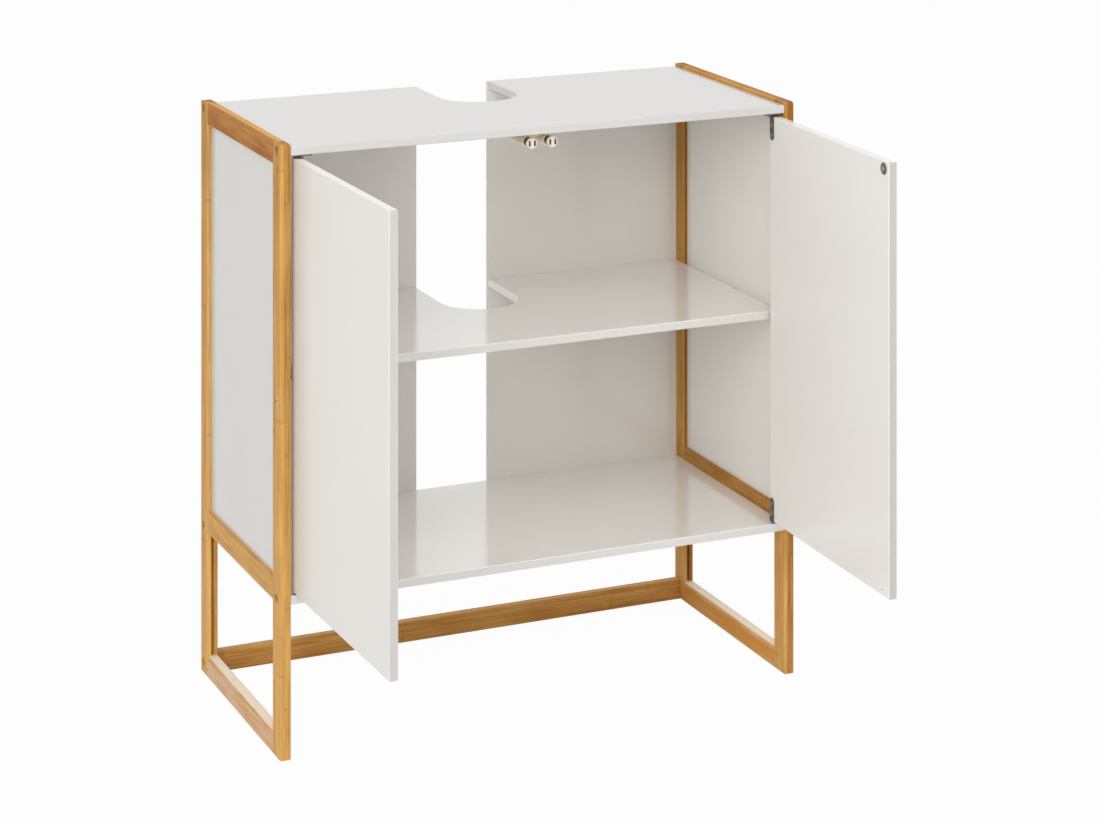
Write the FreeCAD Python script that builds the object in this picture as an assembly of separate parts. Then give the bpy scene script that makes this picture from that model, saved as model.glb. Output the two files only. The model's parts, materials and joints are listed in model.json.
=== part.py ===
import FreeCAD, Part
import math
import os

# A free-standing base cabinet that goes round the pedestal or the drain pipe of a wash basin.
# Two bamboo side frames hold white boards between them, and two inset doors turn on small
# pivot hinges.  Millimetres.  X runs to the right as one faces the cabinet, Y to the back
# and Z up.  Everything is laid out with the front plane of the frames at Y = 0, and moved
# to the origin below, in the middle of the footprint on the floor, when it is written out.

# ---- driving dimensions ------------------------------------------------------------------
WIDTH = 600.0
DEPTH = 288.0
HEIGHT = 640.0

STILE_THICK = 12.0          # across, the same in all the bamboo
STILE_WIDE = 25.0
RAIL_HIGH = 23.0
MID_RAIL_TOP = 184.0
BAR_ARRIS = 0.7
STILE_TOP_ROUND = 3.0       # the front top corner, which the hand meets
GROOVE_WIDE = 3.2
GROOVE_DEEP = 6.0
PANEL_THICK = 3.0

BOARD_THICK = 9.0
BOARD_ARRIS = 0.6
TOP_BOARD_TOP = 637.0       # sunk a little between the side frames
SHELF_TOP = 405.0
SHELF_SET_BACK = 12.5
BOTTOM_BOARD_TOP = 170.0
NOTCH_WIDE = 90.0
TOP_NOTCH_DEEP = 125.0      # from the boards' back edge to the bottom of the U
SHELF_NOTCH_DEEP = 130.0
PIPE_GAP = 88.0             # left free between the two back panels

STRETCHER_THICK = 12.0
STRETCHER_HIGH = 23.0

DOOR_THICK = 9.5
DOOR_SIDE_GAP = 1.5
DOOR_MIDDLE_GAP = 2.0
DOOR_TOP_GAP = 3.5
DOOR_BOTTOM_GAP = 2.0
PIVOT_IN = 5.5              # from the door's hinge edge
PIVOT_BACK = 3.5            # from the door's outer face
LEFT_OPEN_DEG = 89.0        # how far the doors stand open in the rest pose
RIGHT_OPEN_DEG = 88.6

LEAF_WIDE = 9.0
LEAF_LONG = 27.0
LEAF_THICK = 1.0
LEAF_SCREWS = (9.0, 20.0)   # from the end of the door
HINGE_PIN_R = 1.5
PIN_CLEARANCE = 0.06
HINGE_PLATE_LONG = 22.5
HINGE_PLATE_WIDE = 7.6
HINGE_PLATE_SCREWS = (8.0, 14.5)    # from the pivot

LATCH_SPACING = 24.0
LATCH_BELOW_BOARD = 11.5
LATCH_FACE = 11.0           # how far the plungers' faces stand behind the front plane
LATCH_HOUSING_FRONT = 24.0
LATCH_HOUSING_BACK = 64.0
BARREL_R = 6.5
PLUNGER_R = 4.5
PLUNGER_BACK = 46.0
BORE_CLEARANCE = 0.1
STRIKE_R = 6.4
STRIKE_THICK = 1.0

SCREW_FROM_FRONT = 13.0
SCREW_FROM_BACK = 9.0
STILE_BOLT_HEIGHT = 371.0
SHELF_PIN_R = 2.5
DOWEL_R = 2.5
PILOT_HOLE_R = 1.25

SHANK_SIDES = 6             # small buried and repeated pieces are many-sided, not round
HEAD_SIDES = 12
COUNTERBORE_SIDES = 20
BARREL_SIDES = 24

# ---- what follows from them --------------------------------------------------------------
INNER_X = WIDTH / 2 - STILE_THICK
MID_X = WIDTH / 2 - STILE_THICK / 2
MID_RAIL_BOTTOM = MID_RAIL_TOP - RAIL_HIGH
TOP_RAIL_BOTTOM = HEIGHT - RAIL_HIGH
BOARD_BACK = DEPTH - PANEL_THICK
TOP_BOARD_BOTTOM = TOP_BOARD_TOP - BOARD_THICK
SHELF_BOTTOM = SHELF_TOP - BOARD_THICK
BOTTOM_BOARD_BOTTOM = BOTTOM_BOARD_TOP - BOARD_THICK
SCREW_BACK_Y = DEPTH - SCREW_FROM_BACK
STRETCHER_Y = (SCREW_BACK_Y - STRETCHER_THICK / 2, SCREW_BACK_Y + STRETCHER_THICK / 2)
DOOR_X = (DOOR_MIDDLE_GAP / 2, INNER_X - DOOR_SIDE_GAP)
DOOR_Z = (BOTTOM_BOARD_TOP + DOOR_BOTTOM_GAP, TOP_BOARD_BOTTOM - DOOR_TOP_GAP)
DOOR_MIDDLE_Z = (DOOR_Z[0] + DOOR_Z[1]) / 2
PIVOT_X = DOOR_X[1] - PIVOT_IN
LATCH_Z = TOP_BOARD_BOTTOM - LATCH_BELOW_BOARD
DOOR_ARM = PIVOT_X - DOOR_X[0]


def door_reach(open_deg):
    """How far an open door stands out in front of the frames."""
    angle = math.radians(open_deg)
    return DOOR_ARM * math.sin(angle) + PIVOT_BACK * math.cos(angle) - PIVOT_BACK


ORIGIN_Y = (DEPTH - max(door_reach(LEFT_OPEN_DEG), door_reach(RIGHT_OPEN_DEG))) / 2

X_AXIS = FreeCAD.Vector(1, 0, 0)
Y_AXIS = FreeCAD.Vector(0, 1, 0)
Z_AXIS = FreeCAD.Vector(0, 0, 1)


# ---- shared operations -------------------------------------------------------------------
def block(x, y, z):
    """A box from three (low, high) pairs."""
    corner = FreeCAD.Vector(x[0], y[0], z[0])
    return Part.makeBox(x[1] - x[0], y[1] - y[0], z[1] - z[0], corner)


def rod(radius, start, end):
    """A cylinder between two points."""
    run = FreeCAD.Vector(*end) - FreeCAD.Vector(*start)
    return Part.makeCylinder(radius, run.Length, FreeCAD.Vector(*start), run)


def ends_along(solid, axis):
    """The lowest and highest places of a solid's vertices along an axis."""
    places = [vertex.Point.dot(axis) for vertex in solid.Vertexes]
    return min(places), max(places)


def rim_edges(solid, axis):
    """The edges that lie in the two faces square to an axis."""
    ends = ends_along(solid, axis)
    found = []
    for edge in solid.Edges:
        places = [edge.valueAt(value).dot(axis) for value in edge.ParameterRange]
        level = max(places) - min(places) < 1e-6
        if level and min(abs(places[0] - end) for end in ends) < 1e-6:
            found.append(edge)
    return found


def edges_along(solid, axis):
    """The straight edges that run along an axis."""
    found = []
    for edge in solid.Edges:
        run = edge.valueAt(edge.LastParameter) - edge.valueAt(edge.FirstParameter)
        if isinstance(edge.Curve, Part.Line) and abs(abs(run.dot(axis)) - run.Length) < 1e-6:
            found.append(edge)
    return found


def aimed(solid, start, direction):
    """A solid drawn up the Z axis, set at a point and turned to a direction."""
    spin = FreeCAD.Rotation(Z_AXIS, FreeCAD.Vector(*direction))
    solid.Placement = FreeCAD.Placement(FreeCAD.Vector(*start), spin)
    return solid


def ring_of(count, radius, height):
    """The corners of a polygon round the Z axis, the first of them again at the end."""
    turns = [2 * math.pi * k / count for k in range(count + 1)]
    return [FreeCAD.Vector(radius * math.cos(turn), radius * math.sin(turn), height) for turn in turns]


def faceted(sides, profile, start, direction):
    """A small many-sided solid with flat faces: rings of (radius, distance) along an axis."""
    rings = [ring_of(sides, radius, along) for radius, along in profile]
    outlines = [rings[0], rings[-1]]
    for low, high in zip(rings, rings[1:]):
        outlines += [[low[k], low[k + 1], high[k + 1], high[k], low[k]] for k in range(sides)]
    shell = Part.makeShell([Part.Face(Part.makePolygon(outline)) for outline in outlines])
    solid = Part.makeSolid(shell)
    if solid.Volume < 0:
        solid.reverse()
    return aimed(solid, start, direction)


def shank(radius, begin, end, start, direction):
    """The buried run of a screw, and the hole that it fills."""
    return faceted(SHANK_SIDES, [(radius, begin), (radius, end)], start, direction)


def flat_screw(head_r, shank_r, length, start, direction):
    """A countersunk wood screw, or the hole that it fills, with its head flush at the start."""
    neck = head_r - shank_r
    head = faceted(HEAD_SIDES, [(head_r, 0), (shank_r, neck)], start, direction)
    return head.fuse(shank(shank_r, neck, length, start, direction))


def pan_screw(head_r, head_high, shank_r, length, start, direction):
    """A wood screw whose low round head stands on the surface at the start."""
    rim = 0.3
    profile = [(head_r, 0), (head_r, rim - head_high), (head_r - rim, -head_high)]
    head = faceted(HEAD_SIDES, profile, start, direction)
    return head.fuse(shank(shank_r, 0, length, start, direction))


def cut(solid, tools):
    """A solid less all the tools."""
    return solid.cut(tools) if tools else solid


def on_side(shape, side):
    """What is drawn on the right, or its mirror image on the left."""
    if side == "right":
        return shape
    return shape.mirror(FreeCAD.Vector(), X_AXIS)


def save(name, solids):
    """Writes one node, moved to the origin in the middle of the footprint."""
    shape = solids[0] if len(solids) == 1 else Part.makeCompound(solids)
    moved = shape.copy()
    moved.translate(FreeCAD.Vector(0, -ORIGIN_Y, 0))
    moved.exportStep("parts/" + name + ".step")


os.makedirs("parts", exist_ok=True)
SIDES = ("left", "right")


# ---- fasteners that join the boards to the side frames -----------------------------------
FRAME_SCREW_HEAD_R = 3.6
FRAME_SCREW_HEAD_HIGH = 2.6
FRAME_SCREW_R = 2.0
FRAME_SCREW_LONG = 36.0
COUNTERBORE_R = 4.7
COUNTERBORE_DEEP = 4.5
SOCKET_R = 2.0
FRAME_SCREW_PLACES = (
    (SCREW_FROM_FRONT, TOP_BOARD_TOP - BOARD_THICK / 2),
    (SCREW_BACK_Y, TOP_BOARD_TOP - BOARD_THICK / 2),
    (SCREW_FROM_FRONT, BOTTOM_BOARD_TOP - BOARD_THICK / 2),
    (SCREW_BACK_Y, BOTTOM_BOARD_TOP - BOARD_THICK / 2),
    (SCREW_BACK_Y, STRETCHER_HIGH / 2),
)


COUNTERBORE_SEAT = WIDTH / 2 - COUNTERBORE_DEEP


def frame_screw(y, z):
    """A socket-head screw whose head sits at the bottom of its counterbore."""
    seat = (COUNTERBORE_SEAT, y, z)
    profile = [(FRAME_SCREW_HEAD_R, 0), (FRAME_SCREW_HEAD_R, FRAME_SCREW_HEAD_HIGH)]
    head = faceted(HEAD_SIDES, profile, seat, (1, 0, 0))
    socket = shank(SOCKET_R, 1, FRAME_SCREW_HEAD_HIGH + 1, seat, (1, 0, 0))
    return head.cut(socket).fuse(shank(FRAME_SCREW_R, 0, FRAME_SCREW_LONG, seat, (-1, 0, 0)))


def frame_screw_hole(y, z):
    """The counterbore and the run of the shank, through the stile and into the board's edge."""
    seat = (COUNTERBORE_SEAT, y, z)
    counterbore = faceted(
        COUNTERBORE_SIDES, [(COUNTERBORE_R, 0), (COUNTERBORE_R, COUNTERBORE_DEEP + 1)], seat, (1, 0, 0)
    )
    return counterbore.fuse(shank(FRAME_SCREW_R, 0, FRAME_SCREW_LONG, seat, (-1, 0, 0)))


FRAME_SCREW_HOLES = [frame_screw_hole(y, z) for y, z in FRAME_SCREW_PLACES]
frame_screws = [on_side(frame_screw(y, z), side) for side in SIDES for y, z in FRAME_SCREW_PLACES]
save("frame_screws", frame_screws)

# Wooden dowels keep the boards level with the rails between the screws.
DOWEL_INTO_RAIL = 8.0
DOWEL_INTO_BOARD = 14.0
DOWEL_YS = (DEPTH / 3, DEPTH * 2 / 3)
DOWEL_ZS = (TOP_BOARD_TOP - BOARD_THICK / 2, BOTTOM_BOARD_TOP - BOARD_THICK / 2)


def dowel(y, z):
    """A fluted dowel, and the hole that it fills."""
    run = [(DOWEL_R, 0), (DOWEL_R, DOWEL_INTO_BOARD + DOWEL_INTO_RAIL)]
    return faceted(HEAD_SIDES, run, (INNER_X - DOWEL_INTO_BOARD, y, z), (1, 0, 0))


DOWELS = [dowel(y, z) for y in DOWEL_YS for z in DOWEL_ZS]
save("board_dowels", [on_side(peg, side) for side in SIDES for peg in DOWELS])

# A bright steel bolt stands in each front stile a little under the shelf.
STILE_BOLT_HEAD_R = 4.6
STILE_BOLT_R = 3.0
STILE_BOLT_HEAD_HIGH = 2.0
STILE_BOLT_SUNK = 0.4


def stile_bolt(head_top):
    """A flat-headed bolt through the front stile, with the top of its head so far out."""
    seat = STILE_THICK - STILE_BOLT_SUNK - STILE_BOLT_HEAD_HIGH
    start = (INNER_X, SCREW_FROM_FRONT, STILE_BOLT_HEIGHT)
    profile = [(STILE_BOLT_HEAD_R, seat), (STILE_BOLT_HEAD_R, head_top)]
    head = faceted(COUNTERBORE_SIDES, profile, start, (1, 0, 0))
    return head.fuse(faceted(HEAD_SIDES, [(STILE_BOLT_R, 0), (STILE_BOLT_R, seat)], start, (1, 0, 0)))


STILE_BOLT = stile_bolt(STILE_THICK - STILE_BOLT_SUNK)
STILE_BOLT_HOLE = stile_bolt(STILE_THICK + 1)


save("stile_bolts", [on_side(STILE_BOLT, side) for side in SIDES])

# Four steel pins carry the shelf.
SHELF_PIN_DEEP = 8.0
SHELF_PIN_OUT = 7.0
SHELF_PIN_YS = (SHELF_SET_BACK + 3.5, DEPTH - STILE_WIDE / 2)
SHELF_PIN_Z = SHELF_BOTTOM - SHELF_PIN_R


def shelf_pin(y):
    """A pin with an eased end, half in the stile and half under the shelf."""
    ease = 0.6
    length = SHELF_PIN_OUT + SHELF_PIN_DEEP
    profile = [(SHELF_PIN_R - ease, 0), (SHELF_PIN_R, ease), (SHELF_PIN_R, length)]
    return faceted(HEAD_SIDES, profile, (INNER_X - SHELF_PIN_OUT, y, SHELF_PIN_Z), (1, 0, 0))


SHELF_PIN_HOLES = [shelf_pin(y) for y in SHELF_PIN_YS]
save("shelf_pins", [on_side(shelf_pin(y), side) for side in SIDES for y in SHELF_PIN_YS])

# ---- side frames: grooved bamboo bars round a thin panel ---------------------------------
GROOVE_X = (MID_X - GROOVE_WIDE / 2, MID_X + GROOVE_WIDE / 2)
TONGUE_X = (MID_X - PANEL_THICK / 2, MID_X + PANEL_THICK / 2)
TONGUE_LONG = GROOVE_DEEP - 0.5
RAIL_Y = (STILE_WIDE, DEPTH - STILE_WIDE)


def stile(front_y, groove_y):
    """An upright with eased edges and a groove for the panel and the rails' tongues."""
    bar = block((INNER_X, WIDTH / 2), (front_y, front_y + STILE_WIDE), (0, HEIGHT))
    corners = edges_along(bar, X_AXIS)
    top_front = [edge for edge in corners if edge.CenterOfMass.z > 1 and edge.CenterOfMass.y < 1]
    for edge in top_front:
        bar = bar.makeFillet(STILE_TOP_ROUND, [edge])
    bar = bar.makeChamfer(BAR_ARRIS, rim_edges(bar, X_AXIS))
    return bar.cut(block(GROOVE_X, groove_y, (-1, HEIGHT + 1)))


def rail(bottom, groove_z):
    """A cross bar with eased long edges and a tongue at each end."""
    bar = block((INNER_X, WIDTH / 2), RAIL_Y, (bottom, bottom + RAIL_HIGH))
    bar = bar.makeChamfer(BAR_ARRIS, edges_along(bar, Y_AXIS))
    reach = (RAIL_Y[0] - TONGUE_LONG, RAIL_Y[1] + TONGUE_LONG)
    bar = bar.fuse(block(TONGUE_X, reach, (bottom, bottom + RAIL_HIGH))).removeSplitter()
    if groove_z:
        bar = bar.cut(block(GROOVE_X, (reach[0] - 1, reach[1] + 1), groove_z))
    return bar


FRONT_GROOVE = (STILE_WIDE - GROOVE_DEEP, STILE_WIDE + 1)
REAR_GROOVE = (DEPTH - STILE_WIDE - 1, DEPTH - STILE_WIDE + GROOVE_DEEP)
PILOT_HOLE = shank(PILOT_HOLE_R, -1, 4, (INNER_X, DEPTH - 18, SHELF_TOP + 4), (1, 0, 0))

front_stile = cut(stile(0.0, FRONT_GROOVE), FRAME_SCREW_HOLES + SHELF_PIN_HOLES + [STILE_BOLT_HOLE])
rear_stile = cut(stile(DEPTH - STILE_WIDE, REAR_GROOVE), FRAME_SCREW_HOLES + SHELF_PIN_HOLES + [PILOT_HOLE])
top_rail = cut(rail(TOP_RAIL_BOTTOM, (TOP_RAIL_BOTTOM - 1, TOP_RAIL_BOTTOM + GROOVE_DEEP)), DOWELS)
mid_rail = cut(rail(MID_RAIL_BOTTOM, (MID_RAIL_TOP - GROOVE_DEEP, MID_RAIL_TOP + 1)), DOWELS)
foot_rail = rail(0.0, None)
side_panel = block(
    TONGUE_X,
    (RAIL_Y[0] - TONGUE_LONG, RAIL_Y[1] + TONGUE_LONG),
    (MID_RAIL_TOP - GROOVE_DEEP, TOP_RAIL_BOTTOM + TONGUE_LONG),
)

SIDE_FRAME = {
    "front_stile": front_stile,
    "rear_stile": rear_stile,
    "top_rail": top_rail,
    "mid_rail": mid_rail,
    "foot_rail": foot_rail,
    "side_panel": side_panel,
}
for side in SIDES:
    for name, solid in SIDE_FRAME.items():
        save(side + "_" + name, [on_side(solid, side)])

# ---- stretcher, back panels and their screws ---------------------------------------------
BOTH_SIDES_HOLES = [on_side(hole, side) for side in SIDES for hole in FRAME_SCREW_HOLES + DOWELS]

stretcher = block((-INNER_X, INNER_X), STRETCHER_Y, (0, STRETCHER_HIGH))
stretcher = stretcher.makeChamfer(BAR_ARRIS, edges_along(stretcher, X_AXIS))
save("rear_stretcher", [cut(stretcher, BOTH_SIDES_HOLES)])

PANEL_SCREW_XS = (PIPE_GAP / 2 + 20, (PIPE_GAP / 2 + INNER_X) / 2, INNER_X - 40)
PANEL_SCREWS = [
    flat_screw(2.6, 1.2, 14.0, (x, DEPTH, z), (0, -1, 0))
    for x in PANEL_SCREW_XS
    for z in (TOP_BOARD_TOP - BOARD_THICK / 2, BOTTOM_BOARD_TOP - BOARD_THICK / 2)
]
save("back_panel_screws", [on_side(screw, side) for side in SIDES for screw in PANEL_SCREWS])
ALL_PANEL_SCREWS = [on_side(screw, side) for side in SIDES for screw in PANEL_SCREWS]

back_panel = block((PIPE_GAP / 2, INNER_X), (BOARD_BACK, DEPTH), (BOTTOM_BOARD_BOTTOM, TOP_BOARD_TOP - 1))
for side in SIDES:
    save(side + "_back_panel", [on_side(cut(back_panel, PANEL_SCREWS), side)])


# ---- pivot hinges ------------------------------------------------------------------------
LEAF_SCREW_HEAD_R = 2.4
LEAF_SCREW_HEAD_HIGH = 0.9
LEAF_SCREW_R = 1.3
LEAF_SCREW_LONG = 8.0
RIVET_HEAD_R = 2.3
RIVET_HEAD_HIGH = 0.8
BUSH_R = 2.5
BUSH_FLANGE_R = 3.3
BUSH_FLANGE_HIGH = 0.8
BUSH_DEEP = 6.0

LEAF_X = (PIVOT_X - LEAF_WIDE / 2, PIVOT_X + LEAF_WIDE / 2)
DOOR_TOP = DOOR_Z[1]
LEAF_FRONT = 0.7
LEAF_BACK = DOOR_THICK + LEAF_THICK


def upside_down(shape):
    """What is drawn at the top of the door, mirrored to the bottom."""
    return shape.mirror(FreeCAD.Vector(0, 0, DOOR_MIDDLE_Z), Z_AXIS)


def hinge_screw(start, direction):
    """One of the pan-head screws that hold the leaves and the plates."""
    return pan_screw(LEAF_SCREW_HEAD_R, LEAF_SCREW_HEAD_HIGH, LEAF_SCREW_R, LEAF_SCREW_LONG, start, direction)


def leaf_screw(from_end):
    """One of the screws that hold a leaf to the door's inner face."""
    start = (PIVOT_X, LEAF_BACK, DOOR_TOP - from_end)
    return hinge_screw(start, (0, -1, 0))


def hinge_leaf():
    """The door's leaf: a strip on the inner face, bent over the door's end round the pivot."""
    strip = block(LEAF_X, (DOOR_THICK, LEAF_BACK), (DOOR_TOP + LEAF_THICK - LEAF_LONG, DOOR_TOP + LEAF_THICK))
    tip = [edge for edge in edges_along(strip, Y_AXIS) if edge.CenterOfMass.z < DOOR_TOP]
    strip = strip.makeChamfer(LEAF_WIDE * 0.3, tip)
    tab = block(LEAF_X, (LEAF_FRONT, LEAF_BACK), (DOOR_TOP, DOOR_TOP + LEAF_THICK))
    nose = [edge for edge in edges_along(tab, Z_AXIS) if edge.CenterOfMass.y < DOOR_THICK / 2]
    tab = tab.makeChamfer(LEAF_WIDE * 0.25, nose)
    leaf = strip.fuse(tab).removeSplitter()
    bend = [
        edge
        for edge in edges_along(leaf, X_AXIS)
        if edge.CenterOfMass.y > LEAF_BACK - 0.1 and edge.CenterOfMass.z > DOOR_TOP + LEAF_THICK - 0.1
    ]
    leaf = leaf.makeChamfer(LEAF_THICK * 0.5, bend)
    pin_hole = rod(HINGE_PIN_R, (PIVOT_X, PIVOT_BACK, DOOR_TOP - 1), (PIVOT_X, PIVOT_BACK, DOOR_TOP + 3))
    return cut(leaf, [leaf_screw(place) for place in LEAF_SCREWS] + [pin_hole])


def hinge_pin(length):
    """A rivet whose head lies in the door's end and whose shank stands out of the leaf."""
    start = (PIVOT_X, PIVOT_BACK, DOOR_TOP)
    head = faceted(HEAD_SIDES, [(RIVET_HEAD_R, -RIVET_HEAD_HIGH), (RIVET_HEAD_R, 0)], start, (0, 0, 1))
    return head.fuse(rod(HINGE_PIN_R, start, (PIVOT_X, PIVOT_BACK, DOOR_TOP + length)))


RIVET_RECESS = faceted(
    HEAD_SIDES,
    [(RIVET_HEAD_R + 0.2, -RIVET_HEAD_HIGH - 0.2), (RIVET_HEAD_R + 0.2, 1)],
    (PIVOT_X, PIVOT_BACK, DOOR_TOP),
    (0, 0, 1),
)
TOP_PIN_LONG = DOOR_TOP_GAP - 0.2
BOTTOM_PIN_LONG = DOOR_BOTTOM_GAP + BUSH_DEEP - 1.2
HINGE_HOLE_R = HINGE_PIN_R + PIN_CLEARANCE

# The top hinge turns in a small plate under the top board.
PLATE_X = (PIVOT_X + 5.5 - HINGE_PLATE_LONG, PIVOT_X + 5.5)
PLATE_Y = (0.3, 0.3 + HINGE_PLATE_WIDE)
PLATE_Z = (TOP_BOARD_BOTTOM - LEAF_THICK, TOP_BOARD_BOTTOM)
PLATE_SCREWS = [
    hinge_screw((PIVOT_X - along, (PLATE_Y[0] + PLATE_Y[1]) / 2, PLATE_Z[0]), (0, 0, 1))
    for along in HINGE_PLATE_SCREWS
]
hinge_plate = block(PLATE_X, PLATE_Y, PLATE_Z)
hinge_plate = hinge_plate.makeChamfer(HINGE_PLATE_WIDE * 0.3, edges_along(hinge_plate, Z_AXIS))
plate_hole = rod(HINGE_HOLE_R, (PIVOT_X, PIVOT_BACK, PLATE_Z[0] - 1), (PIVOT_X, PIVOT_BACK, PLATE_Z[1] + 1))
hinge_plate = cut(hinge_plate, PLATE_SCREWS + [plate_hole])
for side in SIDES:
    save(side + "_hinge_plate", [on_side(hinge_plate, side)])
save("hinge_plate_screws", [on_side(screw, side) for side in SIDES for screw in PLATE_SCREWS])

# The bottom hinge turns in a flanged bush let into the bottom board.
BUSH_TOP = (PIVOT_X, PIVOT_BACK, BOTTOM_BOARD_TOP)
BUSH_HOLE = faceted(HEAD_SIDES, [(BUSH_R, -BUSH_DEEP), (BUSH_R, 0)], BUSH_TOP, (0, 0, 1))
flange = faceted(HEAD_SIDES, [(BUSH_FLANGE_R, 0), (BUSH_FLANGE_R, BUSH_FLANGE_HIGH)], BUSH_TOP, (0, 0, 1))
bush_bore = rod(
    HINGE_HOLE_R,
    (PIVOT_X, PIVOT_BACK, BOTTOM_BOARD_TOP - BUSH_DEEP + 0.6),
    (PIVOT_X, PIVOT_BACK, BOTTOM_BOARD_TOP + BUSH_FLANGE_HIGH + 1),
)
bush = BUSH_HOLE.fuse(flange).cut(bush_bore)
save("pivot_bushes", [on_side(bush, side) for side in SIDES])


# ---- doors, hung open --------------------------------------------------------------------
STRIKE_X = LATCH_SPACING / 2
DOOR_PILOT_IN = 15.8
DOOR_PILOT_UP = 6.0

strike_screw = flat_screw(2.4, 1.3, 7.5, (STRIKE_X, DOOR_THICK + STRIKE_THICK, LATCH_Z), (0, -1, 0))
strike_plate = faceted(
    BARREL_SIDES,
    [(STRIKE_R, 0), (STRIKE_R, STRIKE_THICK - 0.3), (STRIKE_R - 0.3, STRIKE_THICK)],
    (STRIKE_X, DOOR_THICK, LATCH_Z),
    (0, 1, 0),
)

LEAF_SCREWS_TOP = [leaf_screw(place) for place in LEAF_SCREWS]
LEAF_SCREWS_ALL = LEAF_SCREWS_TOP + [upside_down(screw) for screw in LEAF_SCREWS_TOP]
door_pilot = shank(
    PILOT_HOLE_R, -1, 5, (DOOR_X[0] + DOOR_PILOT_IN, DOOR_THICK, DOOR_Z[0] + DOOR_PILOT_UP), (0, -1, 0)
)
door = block(DOOR_X, (0, DOOR_THICK), DOOR_Z)
door = door.makeChamfer(BOARD_ARRIS, rim_edges(door, Y_AXIS))
door = cut(door, LEAF_SCREWS_ALL + [RIVET_RECESS, upside_down(RIVET_RECESS), strike_screw, door_pilot])

DOOR_PARTS = {
    "door": [door],
    "top_hinge_leaf": [hinge_leaf()],
    "bottom_hinge_leaf": [upside_down(hinge_leaf())],
    "hinge_pins": [hinge_pin(TOP_PIN_LONG), upside_down(hinge_pin(BOTTOM_PIN_LONG))],
    "hinge_screws": LEAF_SCREWS_ALL,
    "strike_plate": [cut(strike_plate, [strike_screw])],
    "strike_screw": [strike_screw],
}


def hung(shape, side):
    """A closed door's piece, mirrored to its side and swung open about its pivot."""
    placed = on_side(shape, side).copy()
    sign, swing = (1, RIGHT_OPEN_DEG) if side == "right" else (-1, LEFT_OPEN_DEG)
    placed.rotate(FreeCAD.Vector(sign * PIVOT_X, PIVOT_BACK, 0), Z_AXIS, sign * swing)
    return placed


for side in SIDES:
    for name, solids in DOOR_PARTS.items():
        save(side + "_" + name, [hung(solid, side) for solid in solids])

# ---- twin push latch ---------------------------------------------------------------------
# Two sprung plungers, each with a magnet between two pole plates in its head, slide in the
# barrels of one moulded housing under the middle of the top board.
HEAD_R = 6.0
HEAD_LONG = 4.5
POLE_OFFSET = 2.8
POLE_THICK = 1.8
POLE_HIGH = 6.4
HOUSING_HALF_WIDE = 20.0
FOOT_THICK = 2.6
BORE_BACK = 58.0
RIB_WIDE = 5.0
SPRING_WIRE_R = 0.45
SPRING_TURNS = 5
SPRING_RUNS = 10            # straight runs in one turn of the wire
LATCH_SCREW_YS = (31.0, 57.0)

LATCH_SCREWS = [
    pan_screw(2.8, 1.4, 1.4, 9.0, (0, y, TOP_BOARD_BOTTOM - FOOT_THICK), (0, 0, 1)) for y in LATCH_SCREW_YS
]


def barrel(x):
    """One round barrel with a tapered back, joined to the foot by a rib."""
    length = BORE_BACK + 3 - LATCH_HOUSING_FRONT
    profile = [(BARREL_R, 0), (BARREL_R, length - 2), (BARREL_R - 2, length)]
    tube = faceted(BARREL_SIDES, profile, (x, LATCH_HOUSING_FRONT, LATCH_Z), (0, 1, 0))
    rib = block(
        (x - RIB_WIDE / 2, x + RIB_WIDE / 2),
        (LATCH_HOUSING_FRONT + 1, BORE_BACK),
        (LATCH_Z, TOP_BOARD_BOTTOM - FOOT_THICK),
    )
    return tube.fuse(rib)


def latch_housing():
    """The foot, the two barrels and their bores."""
    foot = block(
        (-HOUSING_HALF_WIDE, HOUSING_HALF_WIDE),
        (LATCH_HOUSING_FRONT, LATCH_HOUSING_BACK),
        (TOP_BOARD_BOTTOM - FOOT_THICK, TOP_BOARD_BOTTOM),
    )
    foot = foot.makeChamfer(4.0, edges_along(foot, Z_AXIS))
    body = foot.fuse([barrel(-LATCH_SPACING / 2), barrel(LATCH_SPACING / 2)])
    bore_r = PLUNGER_R + BORE_CLEARANCE
    bores = [
        faceted(
            BARREL_SIDES,
            [(bore_r, -1), (bore_r, BORE_BACK - LATCH_HOUSING_FRONT)],
            (x, LATCH_HOUSING_FRONT, LATCH_Z),
            (0, 1, 0),
        )
        for x in (-LATCH_SPACING / 2, LATCH_SPACING / 2)
    ]
    return cut(body, bores + LATCH_SCREWS)


def pole_plates(x):
    """The two steel plates whose ends show as dark slots in a plunger's face."""
    height = (LATCH_Z - POLE_HIGH / 2, LATCH_Z + POLE_HIGH / 2)
    return [
        block((x + across - POLE_THICK / 2, x + across + POLE_THICK / 2),
              (LATCH_FACE + 0.2, LATCH_FACE + HEAD_LONG), height)
        for across in (-POLE_OFFSET, POLE_OFFSET)
    ]


def magnet(x):
    """The flat magnet between the pole plates."""
    half = POLE_OFFSET - POLE_THICK / 2
    height = (LATCH_Z - POLE_HIGH / 2, LATCH_Z + POLE_HIGH / 2)
    return block((x - half, x + half), (LATCH_FACE + 1.2, LATCH_FACE + HEAD_LONG), height)


def plunger_head(x):
    """The round cap, with a pocket from behind and two slots in its face."""
    rim = 0.7
    profile = [(HEAD_R - rim, 0), (HEAD_R, rim), (HEAD_R, HEAD_LONG)]
    cap = faceted(BARREL_SIDES, profile, (x, LATCH_FACE, LATCH_Z), (0, 1, 0))
    slots = [
        block((x + across - POLE_THICK / 2, x + across + POLE_THICK / 2),
              (LATCH_FACE - 1, LATCH_FACE + HEAD_LONG),
              (LATCH_Z - POLE_HIGH / 2, LATCH_Z + POLE_HIGH / 2))
        for across in (-POLE_OFFSET, POLE_OFFSET)
    ]
    return cut(cap, slots + [magnet(x)])


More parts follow.
